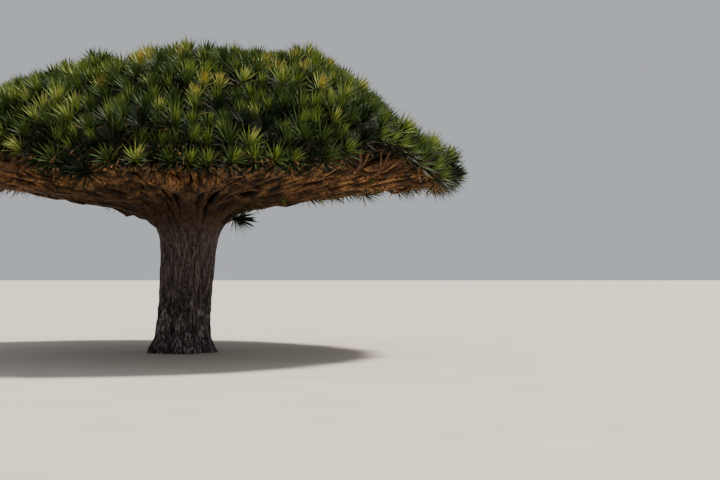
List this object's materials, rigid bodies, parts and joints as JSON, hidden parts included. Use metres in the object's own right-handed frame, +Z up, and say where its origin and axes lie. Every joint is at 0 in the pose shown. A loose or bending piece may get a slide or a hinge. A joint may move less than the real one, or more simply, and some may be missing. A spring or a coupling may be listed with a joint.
{
  "type": "dragon blood tree",
  "caption": "Umbrella-crowned dragon tree: a stout trunk opens into boughs that fork again and again under a dense dome of sword-leaf rosettes.",
  "frame": {"origin": "centre of the flat cut under the trunk, at ground level", "axes": "+Z up the trunk, +X to the right in the picture, +Y away from the viewer"},
  "size_m": [10.7497, 10.7589, 5.8399],
  "materials": {
    "trunk_bark": "matte",
    "bough_bark": "matte",
    "leaf": "satin"
  },
  "bodies": {
    "root": {"trunk": "trunk_bark", "lower_bough_1": "bough_bark", "lower_bough_2": "bough_bark", "lower_bough_3": "bough_bark", "lower_bough_4": "bough_bark", "lower_bough_5": "bough_bark", "lower_bough_6": "bough_bark", "lower_bough_7": "bough_bark", "middle_bough_1": "bough_bark", "middle_bough_2": "bough_bark", "middle_bough_3": "bough_bark", "middle_bough_4": "bough_bark", "middle_bough_5": "bough_bark", "upper_bough_1": "bough_bark", "upper_bough_2": "bough_bark", "lower_limb_1": "bough_bark", "lower_limb_2": "bough_bark", "lower_limb_3": "bough_bark", "lower_limb_4": "bough_bark", "lower_limb_5": "bough_bark", "lower_limb_6": "bough_bark", "lower_limb_7": "bough_bark", "lower_limb_8": "bough_bark", "lower_limb_9": "bough_bark", "lower_limb_10": "bough_bark", "lower_limb_11": "bough_bark", "lower_limb_12": "bough_bark", "lower_limb_13": "bough_bark", "lower_limb_14": "bough_bark", "rim_leaves_1": "leaf", "rim_leaves_2": "leaf", "rim_leaves_3": "leaf", "rim_leaves_4": "leaf", "rim_leaves_5": "leaf", "rim_leaves_6": "leaf", "rim_leaves_7": "leaf", "rim_leaves_8": "leaf", "rim_leaves_9": "leaf", "rim_leaves_10": "leaf", "rim_leaves_11": "leaf", "rim_leaves_12": "leaf", "rim_leaves_13": "leaf", "rim_leaves_14": "leaf", "shoulder_leaves_1": "leaf", "shoulder_leaves_2": "leaf", "shoulder_leaves_3": "leaf", "shoulder_leaves_4": "leaf", "shoulder_leaves_5": "leaf", "shoulder_leaves_6": "leaf", "shoulder_leaves_7": "leaf", "shoulder_leaves_8": "leaf", "shoulder_leaves_9": "leaf", "shoulder_leaves_10": "leaf", "top_leaves_1": "leaf", "top_leaves_2": "leaf", "top_leaves_3": "leaf", "top_leaves_4": "leaf", "sprout_leaves": "leaf"}
  },
  "joints": []
}
